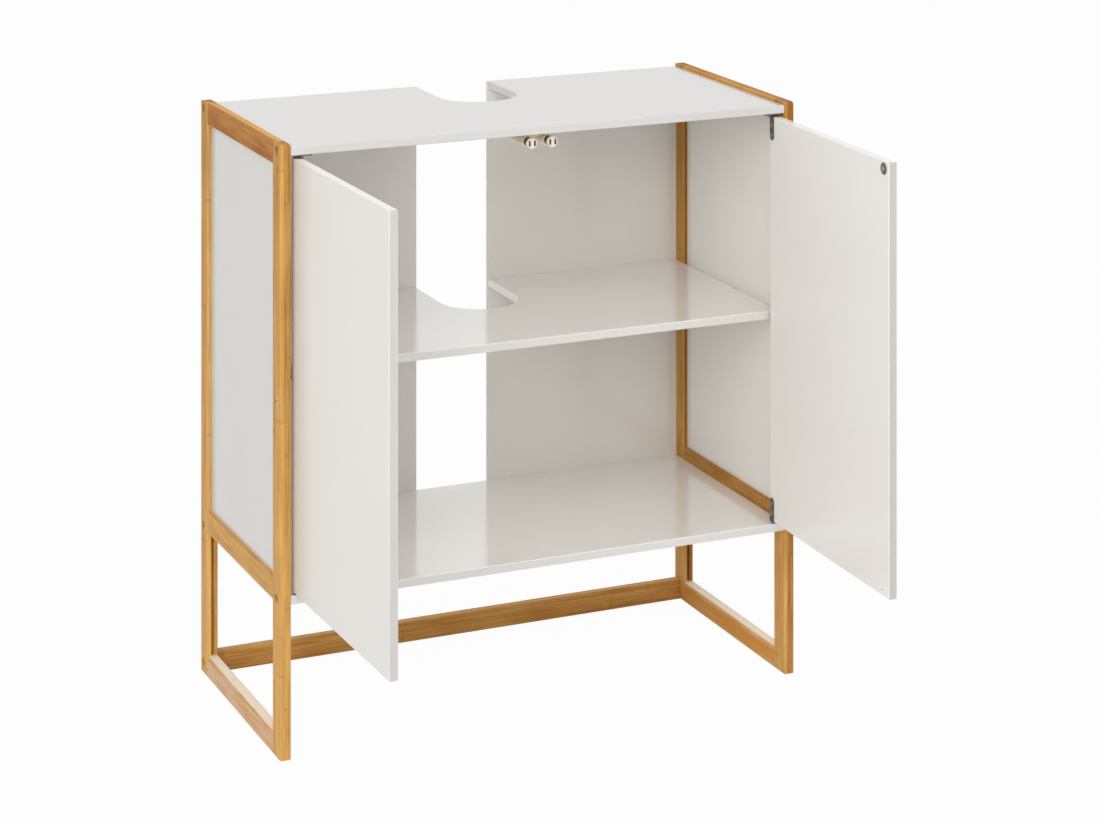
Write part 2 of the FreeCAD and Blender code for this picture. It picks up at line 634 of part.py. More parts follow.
def plunger(x):
    """The sliding stem behind the head."""
    profile = [(PLUNGER_R, HEAD_LONG), (PLUNGER_R, PLUNGER_BACK - LATCH_FACE)]
    return faceted(BARREL_SIDES, profile, (x, LATCH_FACE, LATCH_Z), (0, 1, 0))


def latch_spring(x):
    """A compression spring between the plunger and the blind end of the bore."""
    rise = BORE_BACK - PLUNGER_BACK - 2.6 * SPRING_WIRE_R
    coil_r = PLUNGER_R - 2 * SPRING_WIRE_R
    count = SPRING_TURNS * SPRING_RUNS
    turns = [2 * math.pi * k / SPRING_RUNS for k in range(count + 1)]
    path = Part.makePolygon([
        FreeCAD.Vector(coil_r * math.cos(turn), coil_r * math.sin(turn), rise * k / count)
        for k, turn in enumerate(turns)
    ])
    wire_end = aimed(
        Part.makePolygon(ring_of(4, SPRING_WIRE_R, 0)),
        tuple(path.Vertexes[0].Point),
        tuple(path.Vertexes[1].Point - path.Vertexes[0].Point),
    )
    coil = path.makePipeShell([wire_end], True, False, 1)
    return aimed(coil, (x, PLUNGER_BACK + SPRING_WIRE_R * 1.2, LATCH_Z), (0, 1, 0))


save("latch_housing", [latch_housing()])
save("latch_screws", LATCH_SCREWS)
for side, x in (("left", -LATCH_SPACING / 2), ("right", LATCH_SPACING / 2)):
    save(side + "_plunger", [plunger(x)])
    save(side + "_plunger_head", [plunger_head(x)])
    save(side + "_pole_plates", pole_plates(x))
    save(side + "_magnet", [magnet(x)])
    save(side + "_latch_spring", [latch_spring(x)])


# ---- boards ------------------------------------------------------------------------------
def board(front, bottom, half_wide, notch_deep):
    """A board with eased edges and, where asked, a U notch from its back edge."""
    slab = block((-half_wide, half_wide), (front, BOARD_BACK), (bottom, bottom + BOARD_THICK))
    if notch_deep:
        centre_y = BOARD_BACK - notch_deep + NOTCH_WIDE / 2
        height = (bottom - 1, bottom + BOARD_THICK + 1)
        round_end = rod(NOTCH_WIDE / 2, (0, centre_y, height[0]), (0, centre_y, height[1]))
        straight = block((-NOTCH_WIDE / 2, NOTCH_WIDE / 2), (centre_y, BOARD_BACK + 1), height)
        slab = slab.cut(round_end.fuse(straight))
    return slab.makeChamfer(BOARD_ARRIS, rim_edges(slab, Z_AXIS))


PLATE_SCREWS_BOTH = [on_side(screw, side) for side in SIDES for screw in PLATE_SCREWS]
top_board = board(0, TOP_BOARD_BOTTOM, INNER_X, TOP_NOTCH_DEEP)
top_board = cut(top_board, BOTH_SIDES_HOLES + ALL_PANEL_SCREWS + PLATE_SCREWS_BOTH + LATCH_SCREWS)
save("top_board", [top_board])

save("shelf", [board(SHELF_SET_BACK, SHELF_BOTTOM, INNER_X - 0.5, SHELF_NOTCH_DEEP)])

bottom_board = board(0, BOTTOM_BOARD_BOTTOM, INNER_X, None)
BUSH_HOLES = [on_side(BUSH_HOLE, side) for side in SIDES]
save("bottom_board", [cut(bottom_board, BOTH_SIDES_HOLES + ALL_PANEL_SCREWS + BUSH_HOLES)])
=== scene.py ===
import json
import math

import bmesh
import bpy
from mathutils import Matrix, Vector


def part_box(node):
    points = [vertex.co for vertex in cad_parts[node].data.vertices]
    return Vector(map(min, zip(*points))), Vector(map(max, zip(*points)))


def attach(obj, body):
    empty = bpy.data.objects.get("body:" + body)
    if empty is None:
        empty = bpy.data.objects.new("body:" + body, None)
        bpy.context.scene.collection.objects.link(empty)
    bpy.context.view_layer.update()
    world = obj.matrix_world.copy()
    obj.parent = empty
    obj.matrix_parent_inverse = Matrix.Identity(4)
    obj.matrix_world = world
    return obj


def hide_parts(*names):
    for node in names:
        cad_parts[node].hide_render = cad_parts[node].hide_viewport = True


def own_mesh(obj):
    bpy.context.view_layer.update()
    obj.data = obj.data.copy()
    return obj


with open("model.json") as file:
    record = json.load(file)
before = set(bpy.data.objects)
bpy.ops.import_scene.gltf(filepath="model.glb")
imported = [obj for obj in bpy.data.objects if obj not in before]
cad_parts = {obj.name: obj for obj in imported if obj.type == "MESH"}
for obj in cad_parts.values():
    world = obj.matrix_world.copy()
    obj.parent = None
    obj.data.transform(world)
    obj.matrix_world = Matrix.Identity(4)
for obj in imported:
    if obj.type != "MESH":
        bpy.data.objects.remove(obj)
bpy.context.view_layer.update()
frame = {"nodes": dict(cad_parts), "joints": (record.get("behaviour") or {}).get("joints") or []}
nodes = frame["nodes"]

# ---- Bamboo bars of the side frames, and the rear stretcher ------------------------------
# Laminated bamboo: three 4 mm layers of strips glued face to face, planed to 12 mm, eased
# along the edges and sprayed with clear lacquer. The rails are tongued into grooves in the
# stiles, and the stretcher is screwed between the two frames at the floor.
MM = 0.001
LAYER = 4.0 * MM
STRIP = 15.5 * MM
NODE_SPACING = 262.0 * MM                   # the joints of the cane, and the ridge beside each
NODE_HALF = 2.4 * MM
RIDGE_OFF, RIDGE_HALF = 0.9 * MM, 0.8 * MM
GRAINS_ACROSS, GRAINS_DEEP, GRAINS_ALONG = 780.0, 620.0, 9.0         # how many to a metre
FIBRES_ACROSS, FIBRES_DEEP, FIBRES_ALONG = 3400.0, 3000.0, 55.0
GROWTHS_ACROSS, GROWTHS_ALONG = 90.0, 16.0
STRIPS_DIFFER, GRAIN_SHOWS, GROWTH_SHOWS = 0.26, 1.3, 0.8
NO_FOOT_LIGHT_HEIGHT = 0.4                              # the height where the painted light from the floor is none: paler below it, darker above
FACING = 0.8                                # how far a surface has to face a way to count there


class Wire:
    """One number in a shader. Arithmetic on it adds the Math nodes."""

    def __init__(self, finish, socket):
        self.finish = finish
        self.socket = socket

    def math(self, operation, *values):
        return self.finish.node("Math", {"operation": operation}, dict(enumerate(values)))

    def __add__(self, other):
        return self.math("ADD", self, other)

    def __radd__(self, other):
        return self.math("ADD", other, self)

    def __sub__(self, other):
        return self.math("SUBTRACT", self, other)

    def __rsub__(self, other):
        return self.math("SUBTRACT", other, self)

    def __mul__(self, other):
        return self.math("MULTIPLY", self, other)

    def __rmul__(self, other):
        return self.math("MULTIPLY", other, self)

    def __truediv__(self, other):
        return self.math("DIVIDE", self, other)

    def floor(self):
        return self.math("FLOOR", self)

    def fract(self):
        return self.math("FRACT", self)

    def size(self):
        return self.math("ABSOLUTE", self)

    def held(self):
        """Kept between 0 and 1."""
        return self.finish.node("Clamp", {}, {"Value": self})

    def above(self, limit):
        return self.math("GREATER_THAN", self, limit)


class Finish:
    """A material, or the world, and the nodes that make it up."""

    def __init__(self, name, kind="materials"):
        self.owner = getattr(bpy.data, kind).new(name)
        self.owner.use_nodes = True
        self.tree = self.owner.node_tree
        self.tree.nodes.clear()
        if kind == "materials":
            self.place, self.normal = self.node("TexCoord", {}, {}, ("Object", "Normal"))

    def node(self, kind, settings, sockets, out=0):
        """Adds a node, sets it up, feeds its sockets and gives one output, or those in a tuple."""
        made = self.tree.nodes.new("ShaderNode" + kind)
        for name, value in settings.items():
            setattr(made, name, value)
        for name, value in sockets.items():
            if isinstance(value, Wire):
                self.tree.links.new(value.socket, made.inputs[name])
            else:
                made.inputs[name].default_value = value
        if isinstance(out, tuple):
            return [Wire(self, made.outputs[name]) for name in out]
        return Wire(self, made.outputs[out])

    def blended(self, first, second, share, way="MIX"):
        """Two colours mixed. Numbers 6 and 7 are a Mix node's colours, and 2 what comes out."""
        settings = {"data_type": "RGBA", "blend_type": way}
        return self.node("Mix", settings, {0: share, 6: first, 7: second}, 2)

    def vector(self, x, y, z):
        """A vector from its three parts."""
        return self.node("CombineXYZ", {}, {0: x, 1: y, 2: z}, 0)

    def moved(self, operation, by):
        """The place on the piece, with a vector added to it or multiplied in."""
        return self.node("VectorMath", {"operation": operation}, {0: self.place, 1: by})

    def towards(self, direction):
        """How far the surface faces a direction, from -1 to 1."""
        sockets = {0: self.normal, 1: direction}
        return self.node("VectorMath", {"operation": "DOT_PRODUCT"}, sockets, "Value")

    def noise(self, scale, detail=2.0, roughness=0.5, vector=None):
        """Even noise over the piece, or over a vector of its own."""
        sockets = {"Scale": scale, "Detail": detail, "Roughness": roughness}
        return self.node("TexNoise", {}, {"Vector": vector or self.place, **sockets})

    def bump(self, height, distance, strength):
        """A relief of so many metres."""
        sockets = {"Height": height, "Distance": distance, "Strength": strength}
        return self.node("Bump", {}, sockets, "Normal")

    def shade(self, sockets):
        """Ends the material with a Principled shader."""
        surface = self.node("BsdfPrincipled", {}, sockets)
        self.node("OutputMaterial", {}, {"Surface": surface}, ())
        return self.owner


def colour(red, green, blue):
    """A colour from its sRGB numbers."""
    def linear(value):
        value /= 255.0
        return value / 12.92 if value <= 0.04045 else ((value + 0.055) / 1.055) ** 2.4
    return (linear(red), linear(green), linear(blue), 1.0)


def bamboo(name, run, through, first_face, tones, pair, seed, painted_foot_light=0.0, painted_facing_light=None):
    """Lacquered bamboo. run and through are the axes of a bar's length and its 12 mm side, whose
    three layers start at first_face and have a tone each, from 0 for the deepest colour of the
    pair to 1 for the palest. drift is painted light: how much paler a metre makes the bar towards
    the foot, for the light the white floor throws up. departure is painted light and shade: a
    direction, and how much paler or darker the face that looks there is made, on a stile only
    higher up."""
    palest, deepest = pair
    finish = Finish(name)
    place = finish.node("SeparateXYZ", {}, {0: finish.place}, ("X", "Y", "Z"))
    along, depth, across = place[run], place[through], place[3 - run - through]
    layer = ((depth - first_face) * 0.999 / LAYER + 0.001).floor()
    strip = (across / STRIP + layer * 0.37 + seed * 0.13).floor()
    number = layer * 3.17 + strip * 7.31 + seed
    tint, other = [
        finish.node("TexWhiteNoise", {"noise_dimensions": "1D"}, {"W": number + shift}, "Value")
        for shift in (0.0, 41.7)
    ]
    wander = finish.noise(9.0)
    grain = finish.noise(1.0, 3.0, 0.6, finish.vector(
        across * GRAINS_ACROSS + tint * 31.0,
        depth * GRAINS_DEEP,
        along * GRAINS_ALONG + other * 17.0,
    ))
    fibre = finish.noise(1.0, 2.0, 0.5, finish.vector(
        across * FIBRES_ACROSS + wander * 2.0,
        depth * FIBRES_DEEP,
        along * FIBRES_ALONG,
    ))
    growth = finish.noise(1.0, 2.0, 0.5, finish.vector(
        across * GROWTHS_ACROSS + tint * 9.0,
        depth * GROWTHS_ACROSS,
        along * GROWTHS_ALONG + other * 40.0,
    ))
    flecks = ((fibre - 0.57) * 7.0).held()

    joint = (along + tint * 1.7 + wander * 0.006) / NODE_SPACING
    off_joint = (joint.fract() - 0.5).size() * NODE_SPACING
    band = (1.0 - off_joint / NODE_HALF).held()
    ridge = (1.0 - (off_joint - RIDGE_OFF).size() / RIDGE_HALF).held()

    first, second, third = tones
    tone = first + layer.above(0.5) * (second - first) + layer.above(1.5) * (third - second)
    # Painted light and shade: the face that looks one way is made paler or darker. On a stile this
    # grows from nothing at the foot to full at 0.4 m.
    if painted_facing_light:
        direction, change = painted_facing_light
        higher = (along * 2.5).held() if run == Z else 1.0
        tone = tone + finish.towards(direction).above(FACING) * higher * change
    tone = tone + (tint - 0.5) * STRIPS_DIFFER + (grain - 0.5) * GRAIN_SHOWS
    # Painted light: the last term makes a bar paler towards the foot, for the light the white
    # floor throws up.
    tone = tone + (growth - 0.5) * GROWTH_SHOWS + painted_foot_light * (NO_FOOT_LIGHT_HEIGHT - along)
    base = finish.blended(deepest, palest, tone.held())
    base = finish.blended(base, ROSY, other * 0.14)
    base = finish.blended(base, FLECK, flecks * 0.16 + band * 0.14 + ridge * 0.18)
    return finish.shade({
        "Base Color": base,
        "Roughness": grain * 0.16 + 0.38,
        "Normal": finish.bump(grain * 0.5 + fibre * 0.35 - band * 0.6, 0.05 * MM, 0.5),
        "Specular IOR Level": 0.06,
    })


def dress(material, *names):
    """Gives CAD nodes a material in place of their plain one."""
    for name in names:
        for slot in nodes[name].material_slots:
            slot.material = material


ROSY = colour(192, 118, 68)
FLECK = colour(126, 74, 30)
HONEY = colour(238, 188, 110), colour(160, 108, 44)         # palest and deepest
CARAMEL = colour(238, 182, 88), colour(152, 82, 14)
# STRAW_AND_PAINTED_SHEEN, the foot rails' pair, is paler than the others. Its palest end is the
# painted highlight on their top faces, and its paleness is partly painted light from the floor.
STRAW_AND_PAINTED_SHEEN = colour(255, 242, 220), colour(212, 146, 60)
X, Y, Z = 0, 1, 2
# Painted light: how much paler a metre makes the stiles towards the foot, for light thrown up by
# the floor.
FOOT_LIGHT_PAINT = 0.6
# Painted shade: a darker front face, for the shade in the corner on the right rear stile.
PAINTED_FRONT_SHADE = (0, -1, 0), -0.9
# Painted highlight: paler top faces, for the bright sheen on the foot rails' tops.
PAINTED_TOP_HIGHLIGHT = (0, 0, 1), 1.0
for name, run, tones, pair, seed, painted_foot_light, painted_facing_light in (     # tones run from outside to inside
    ("left_front_stile", Z, (0.54, 0.28, 0.42), HONEY, 3.0, FOOT_LIGHT_PAINT, None),
    ("left_rear_stile", Z, (0.62, 0.40, 0.30), HONEY, 8.3, FOOT_LIGHT_PAINT, None),
    ("left_top_rail", Y, (0.22, 1.0, 0.95), CARAMEL, 4.9, 0.0, None),
    ("left_mid_rail", Y, (0.80, 0.80, 0.50), HONEY, 5.7, 0.0, None),
    ("left_foot_rail", Y, (0.28, 0.36, 0.24), STRAW_AND_PAINTED_SHEEN, 6.1, 0.0, PAINTED_TOP_HIGHLIGHT),
    ("right_front_stile", Z, (0.0, 0.02, 0.54), HONEY, 11.0, FOOT_LIGHT_PAINT, None),
    ("right_rear_stile", Z, (0.0, 0.04, 0.47), HONEY, 16.3, FOOT_LIGHT_PAINT, PAINTED_FRONT_SHADE),
    ("right_top_rail", Y, (0.46, 0.46, 0.56), CARAMEL, 12.9, 0.0, None),
    ("right_mid_rail", Y, (0.46, 0.40, 0.36), HONEY, 13.7, 0.0, None),
    ("right_foot_rail", Y, (0.28, 0.36, 0.06), STRAW_AND_PAINTED_SHEEN, 14.1, 0.0, PAINTED_TOP_HIGHLIGHT),
):
    layers = tones if name.startswith("left") else tones[::-1]
    left_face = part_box(name)[0].x
    dress(bamboo(name + "_bamboo", run, X, left_face, layers, pair, seed, painted_foot_light, painted_facing_light), name)
stretcher_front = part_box("rear_stretcher")[0].y
stretcher_tones = (0.42, 0.78, 0.52)                        # from front to back
stretcher_bamboo = bamboo("stretcher_bamboo", X, Y, stretcher_front, stretcher_tones, HONEY, 23.0)
dress(stretcher_bamboo, "rear_stretcher")


# ---- Side panels, back panels and the three boards ---------------------------------------
# White-lacquered fibreboard. The 3 mm side panels slide in the frames' grooves, the back
# panels are screwed on, and the 9 mm boards have eased edges and a routed notch for the pipe.
TOP_WHITE = colour(222, 221, 219)
BRIGHT_WHITE = colour(251, 249, 245)
BACK_WHITE = colour(234, 231, 226)
PANEL_OUTSIDE_SHADE = 0.75                        # painted shade: how much darker its outside is made than the same white inside
TOP_EDGE_SOAK_AND_SHADE, SHELF_EDGE_SOAK_AND_SHADE = 0.94, 0.75           # and how much darker the long edges are: partly lacquer soaked up, partly painted shade
SHELF_POLISH = 0.6


def white_lacquer(name, tone, seed, edge=1.0, polish=0.0, rough=0.11, outside=1.0):
    """White lacquer with the faint orange peel of a sprayed board. The long edges are darker,
    partly for the lacquer they soak up and partly as painted shade against the strong light from
    the front. If asked, the outside is darker too, as painted shade: the lacquer is the same white
    all round."""
    finish = Finish(name)
    shifted = finish.moved("ADD", (seed, seed * 0.7, seed * 1.3))
    peel = finish.noise(520.0, 1.5, 0.5, shifted)
    swell = finish.noise(34.0, 2.0, 0.5, shifted)
    cloud = finish.noise(5.0, 3.0, 0.55, shifted)
    speck = finish.noise(1700.0, 1.0, 0.5, shifted)
    shade = tuple(part * 0.955 for part in tone[:3]) + (1.0,)
    base = finish.blended(shade, tone, (cloud * 1.3 - 0.15).held())
    base = finish.blended(base, shade, ((speck - 0.66) * 6.0).held() * 0.5)
    # Painted shade, with some real dulling: faces that look front or back are darkened by the edge
    # factor.
    on_edge = finish.towards((0, 1, 0)).size().above(FACING)
    base = finish.blended(base, (edge, edge, edge, 1.0), on_edge, "MULTIPLY")
    # Painted shade: faces that look outward along X are made darker than the inward ones, though
    # the lacquer is the same white.
    if outside < 1.0:
        normal_x, place_x = [
            finish.node("SeparateXYZ", {}, {0: vector}, "X")
            for vector in (finish.normal, finish.place)
        ]
        on_outside = (normal_x * place_x).above(0.1)
        base = finish.blended(base, (outside, outside, outside, 1.0), on_outside, "MULTIPLY")
    return finish.shade({
        "Base Color": base,
        "Roughness": cloud * 0.06 + rough,
        "Normal": finish.bump(peel * 0.5 + swell * 1.6, 0.04 * MM, 0.3),
        "Specular IOR Level": 0.7,
        "Coat Weight": polish,
        "Coat Roughness": 0.09,
    })


side_panel_white = white_lacquer("side_panel_white", BRIGHT_WHITE, 1.0, outside=PANEL_OUTSIDE_SHADE)
dress(side_panel_white, "left_side_panel", "right_side_panel")
dress(white_lacquer("back_panel_white", BACK_WHITE, 2.0), "left_back_panel", "right_back_panel")
dress(white_lacquer("top_board_white", TOP_WHITE, 3.0, TOP_EDGE_SOAK_AND_SHADE), "top_board")
for node, seed in (("shelf", 4.0), ("bottom_board", 5.0)):
    dress(white_lacquer(node + "_white", BRIGHT_WHITE, seed, SHELF_EDGE_SOAK_AND_SHADE, SHELF_POLISH), node)


# ---- Countersunk screws of the back panels -----------------------------------------------
# Small zinc-plated wood screws with a cross recess, driven flush through the back panels
# into the edges of the top and bottom boards.
SMOOTH_BELOW = 35.0                         # degrees between the faces of a rounded surface


def closed(work, name):
    """The mesh of a worked solid, its faces turned outwards."""
    bmesh.ops.recalc_face_normals(work, faces=work.faces)
    mesh = bpy.data.meshes.new(name)
    work.to_mesh(mesh)
    work.free()
    return mesh


def turned(outline, sides=40):
    """A solid turned round Z from (radius, height) pairs in millimetres, from axis to axis."""
    work = bmesh.new()
    rings = []
    for radius, height in outline:
        count = sides if radius else 1
        r, z = radius * MM, height * MM
        turns = [2 * math.pi * k / sides for k in range(count)]
        ring = [(r * math.cos(turn), r * math.sin(turn), z) for turn in turns]
        rings.append([work.verts.new(corner) for corner in ring])
    for low, high in zip(rings, rings[1:]):
        for k in range(sides):
            corners = [
                low[k % len(low)], low[(k + 1) % len(low)],
                high[(k + 1) % len(high)], high[k % len(high)],
            ]
            work.faces.new(list(dict.fromkeys(corners)))
    return closed(work, "turned")


def prism(outline, bottom, top, taper=1.0):
    """A prism up Z from (x, y) pairs in millimetres, its bottom drawn in by a taper."""
    work = bmesh.new()
    low = [work.verts.new((x * taper * MM, y * taper * MM, bottom * MM)) for x, y in outline]
    high = [work.verts.new((x * MM, y * MM, top * MM)) for x, y in outline]
    count = len(outline)
    for k in range(count):
        work.faces.new([low[k], low[(k + 1) % count], high[(k + 1) % count], high[k]])
    work.faces.new(low[::-1])
    work.faces.new(high)
    return closed(work, "prism")


def cross(long, wide):
    """The outline of a cross."""
    a, b = long / 2, wide / 2
    quarter = [(a, -b), (a, b), (b, b)]
    return [
        (x * math.cos(turn) - y * math.sin(turn), x * math.sin(turn) + y * math.cos(turn))
        for turn in (0, math.pi / 2, math.pi, 3 * math.pi / 2)
        for x, y in quarter
    ]


def carved(mesh, *cutters):
    """A mesh less the cutters."""
    for cutter in cutters:
        solid = bpy.data.objects.new("solid", mesh)
        tool = bpy.data.objects.new("tool", cutter)
        for part in (solid, tool):
            bpy.context.scene.collection.objects.link(part)
        cut = solid.modifiers.new("cut", "BOOLEAN")
        cut.operation = "DIFFERENCE"
        cut.solver = "EXACT"
        cut.object = tool
        bpy.context.view_layer.update()
        evaluated = solid.evaluated_get(bpy.context.evaluated_depsgraph_get())
        mesh = bpy.data.meshes.new_from_object(evaluated)
        for part in (solid, tool):
            bpy.data.objects.remove(part)
    return mesh


def aimed(place, direction, spin=0.0):
    """The matrix that takes what is drawn up Z to a place, facing a direction."""
    turn = Vector((0, 0, 1)).rotation_difference(Vector(direction)).to_matrix().to_4x4()
    return Matrix.Translation(place) @ turn @ Matrix.Rotation(spin, 4, "Z")


def piece(name, body, material, shapes, stands_for):
    """One piece joined from (mesh, matrix) pairs, riding on a body, in place of CAD nodes."""
    work = bmesh.new()
    for shape, matrix in shapes:
        copy = shape.copy()
        copy.transform(matrix)
        work.from_mesh(copy)
    mesh = bpy.data.meshes.new(name)
    work.to_mesh(mesh)
    work.free()
    mesh.shade_smooth()
    mesh.set_sharp_from_angle(angle=math.radians(SMOOTH_BELOW))
    mesh.materials.clear()
    mesh.materials.append(material)
    made = bpy.data.objects.new(name, mesh)
    bpy.context.scene.collection.objects.link(made)
    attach(made, body)
    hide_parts(*stands_for)
    return made


def plated_steel(name, tone, rough, seed):
    """Plated steel with fine drawn lines and a little clouding."""
    finish = Finish(name)
    brushed = finish.noise(1.0, 3.0, 0.6, finish.moved("MULTIPLY", (4200.0, 900.0, 700.0)))
    cloud = finish.noise(160.0 + seed, 3.0, 0.6)
    dull = tuple(part * 0.72 for part in tone[:3]) + (1.0,)
    return finish.shade({
        "Base Color": finish.blended(dull, tone, (cloud * 1.6 - 0.3).held()),
        "Metallic": 1.0,
        "Roughness": brushed * 0.18 + cloud * 0.12 + rough,
        "Normal": finish.bump(brushed, 0.01 * MM, 0.4),
    })


zinc = plated_steel("zinc_plate", colour(176, 172, 164), 0.22, 1.0)
flush_screw = turned([
    (0, -14), (0.5, -13), (1.2, -11), (1.2, -1.4), (2.6, 0), (2.55, 0.02), (0, 0.02),
])
flush_screw = carved(flush_screw, prism(cross(2.9, 0.62), -1.1, 0.5, 0.45))
back_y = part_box("left_back_panel")[1].y
panel_lo, panel_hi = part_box("right_back_panel")


def middle(node):
    """The middle of a CAD node's box."""
    low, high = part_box(node)
    return (low + high) / 2


panel_screw_xs = panel_lo.x + 20 * MM, (panel_lo.x + panel_hi.x) / 2, panel_hi.x - 40 * MM
piece(
    "back_screws", "root", zinc,
    [
        (flush_screw, aimed((sign * x, back_y, middle(board).z), (0, 1, 0), 0.4 * k + sign))
        for sign in (-1, 1)
        for board in ("top_board", "bottom_board")
        for k, x in enumerate(panel_screw_xs)
    ],
    ["back_panel_screws"],
)

# ---- Socket screws through the stiles ----------------------------------------------------
# Blackened steel cap screws, sunk in counterbores in the stiles, that pull the boards and
# the stretcher up to the side frames.
CAP_R, CAP_HIGH = 3.6, 2.6
FROM_FRONT, FROM_BACK, SUNK = 13 * MM, 9 * MM, 4.5 * MM
front_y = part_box("left_front_stile")[0].y
rear_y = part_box("left_rear_stile")[1].y
outer_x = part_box("right_front_stile")[1].x
seat_x = outer_x - SUNK
SOCKET_R = 2.3


def hexagon(radius):
    """The outline of a hexagon, by the radius of its corners."""
    turns = [math.pi * k / 3 for k in range(6)]
    return [(radius * math.cos(turn), radius * math.sin(turn)) for turn in turns]


cap_screw = turned([
    (0, -36), (1.2, -35), (2.0, -33), (2.0, 0), (CAP_R, 0), (CAP_R, CAP_HIGH - 0.4),
    (CAP_R - 0.4, CAP_HIGH), (0, CAP_HIGH),
])
cap_screw = carved(cap_screw, prism(hexagon(SOCKET_R), 0.7, CAP_HIGH + 1))
dark_steel = plated_steel("blackened_steel", colour(34, 30, 26), 0.34, 2.0)
frame_screw_places = [
    (front_y + FROM_FRONT, middle("top_board").z),
    (rear_y - FROM_BACK, middle("top_board").z),
    (front_y + FROM_FRONT, middle("bottom_board").z),
    (rear_y - FROM_BACK, middle("bottom_board").z),
    (rear_y - FROM_BACK, middle("rear_stretcher").z),
]
piece(
    "cap_screws", "root", dark_steel,
    [
        (cap_screw, aimed((sign * seat_x, y, z), (sign, 0, 0), 0.7 * k))
        for sign in (-1, 1)
        for k, (y, z) in enumerate(frame_screw_places)
    ],
    ["frame_screws"],
)

# ---- Bolts in the front stiles -----------------------------------------------------------
# A bright flat-headed bolt with a hex socket, let in flush with the outside of each front
# stile a little under the shelf.
bright_steel = plated_steel("bright_nickel", colour(214, 212, 206), 0.14, 3.0)
bolt = turned([
    (0, -9.6), (2.6, -9.6), (3.0, -9.2), (3.0, 0), (4.6, 0), (4.6, 1.6), (4.35, 1.9), (3.9, 2.0),
    (0, 2.0),
])
bolt = carved(bolt, prism(hexagon(SOCKET_R * 0.75), 0.6, 3.0))
bolt_x = outer_x - 2.4 * MM
bolt_z = middle("stile_bolts").z
piece(
    "flat_bolts", "root", bright_steel,
    [
        (bolt, aimed((sign * bolt_x, front_y + FROM_FRONT, bolt_z), (sign, 0, 0)))
        for sign in (-1, 1)
    ],
    ["stile_bolts"],
)

# ---- Shelf pins --------------------------------------------------------------------------
# Four plated steel pins with eased ends, pressed into holes in the stiles. The shelf lies on
# the stubs that stand out of the bars.
inner_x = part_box("right_front_stile")[0].x
PIN_R, PIN_DEEP = 2.5 * MM, 7 * MM
PIN_FROM_FRONT, PIN_FROM_BACK = 16 * MM, 12.5 * MM
pin_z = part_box("shelf")[0].z - PIN_R
pin = turned([(0, 0), (2.0, 0), (2.35, 0.15), (2.5, 0.6), (2.5, 15), (0, 15)])
piece(
    "support_pins", "root", zinc,
    [
        (pin, aimed((sign * (inner_x - PIN_DEEP), y, pin_z), (sign, 0, 0)))
        for sign in (-1, 1)
        for y in (front_y + PIN_FROM_FRONT, rear_y - PIN_FROM_BACK)
    ],
    ["shelf_pins"],
)

# ---- Dowels ------------------------------------------------------------------------------
# Round beech dowels, glued half in the boards' edges and half in the rails. They are out of
# sight once the cabinet is together.
beech = Finish("beech")
beech_grain = beech.noise(1.0, 3.0, 0.6, beech.moved("MULTIPLY", (60.0, 2200.0, 2200.0)))
dress(
    beech.shade({
        "Base Color": beech.blended(colour(196, 160, 118), colour(224, 192, 150), beech_grain),
        "Roughness": beech_grain * 0.15 + 0.6,
        "Normal": beech.bump(beech_grain, 0.1 * MM, 0.4),
    }),
    "board_dowels",
)

# ---- Doors -------------------------------------------------------------------------------
# Two slabs of 9.5 mm fibreboard, lacquered white all round, with eased edges. They hang
# inside the frames and stand open a right angle.
# Painted shade: the doors' outer faces are made darker than their inner ones, though both are the
# same white.
DOOR_OUTSIDE_SHADE = 0.88
# The third number darkens each door's long edges: partly lacquer soaked up, partly painted shade.
for door, seed, edge, rough in (("left_door", 6.0, 0.63, 0.26), ("right_door", 7.0, 0.61, 0.2)):
    dress(white_lacquer(door + "_white", BRIGHT_WHITE, seed, edge, 0.0, rough, DOOR_OUTSIDE_SHADE), door)

# ---- Pivot hinges ------------------------------------------------------------------------
# Stamped steel leaves, bent over the ends of the doors and screwed on, each with a riveted
# pin. The upper pins turn in plates under the top board, the lower ones in flanged bushes.
hinge_steel = plated_steel("hinge_steel", colour(128, 120, 108), 0.30, 4.0)
for side in ("left", "right"):
    for part in ("_top_hinge_leaf", "_bottom_hinge_leaf", "_hinge_plate", "_hinge_pins"):
        dress(hinge_steel, side + part)

pan_screw = turned([
    (0, -8), (0.4, -7.4), (1.3, -5.4), (1.3, 0), (2.4, 0), (2.4, 0.28), (2.2, 0.58), (1.75, 0.83),
    (1.1, 0.96), (0, 1.0),
])
pan_screw = carved(pan_screw, prism(cross(2.7, 0.6), 0.15, 1.4, 0.5))
hinges = {joint["name"]: joint for joint in frame["joints"]}


def swung(side):
    """The turn that takes a closed door's piece to where the door stands at rest."""
    hinge = hinges[side + "_door_hinge"]
    pivot = Matrix.Translation(hinge["pos_m"])
    opened = math.radians(-hinge["range_deg"][0])
    return pivot @ Matrix.Rotation(opened, 4, hinge["axis"]) @ pivot.inverted()


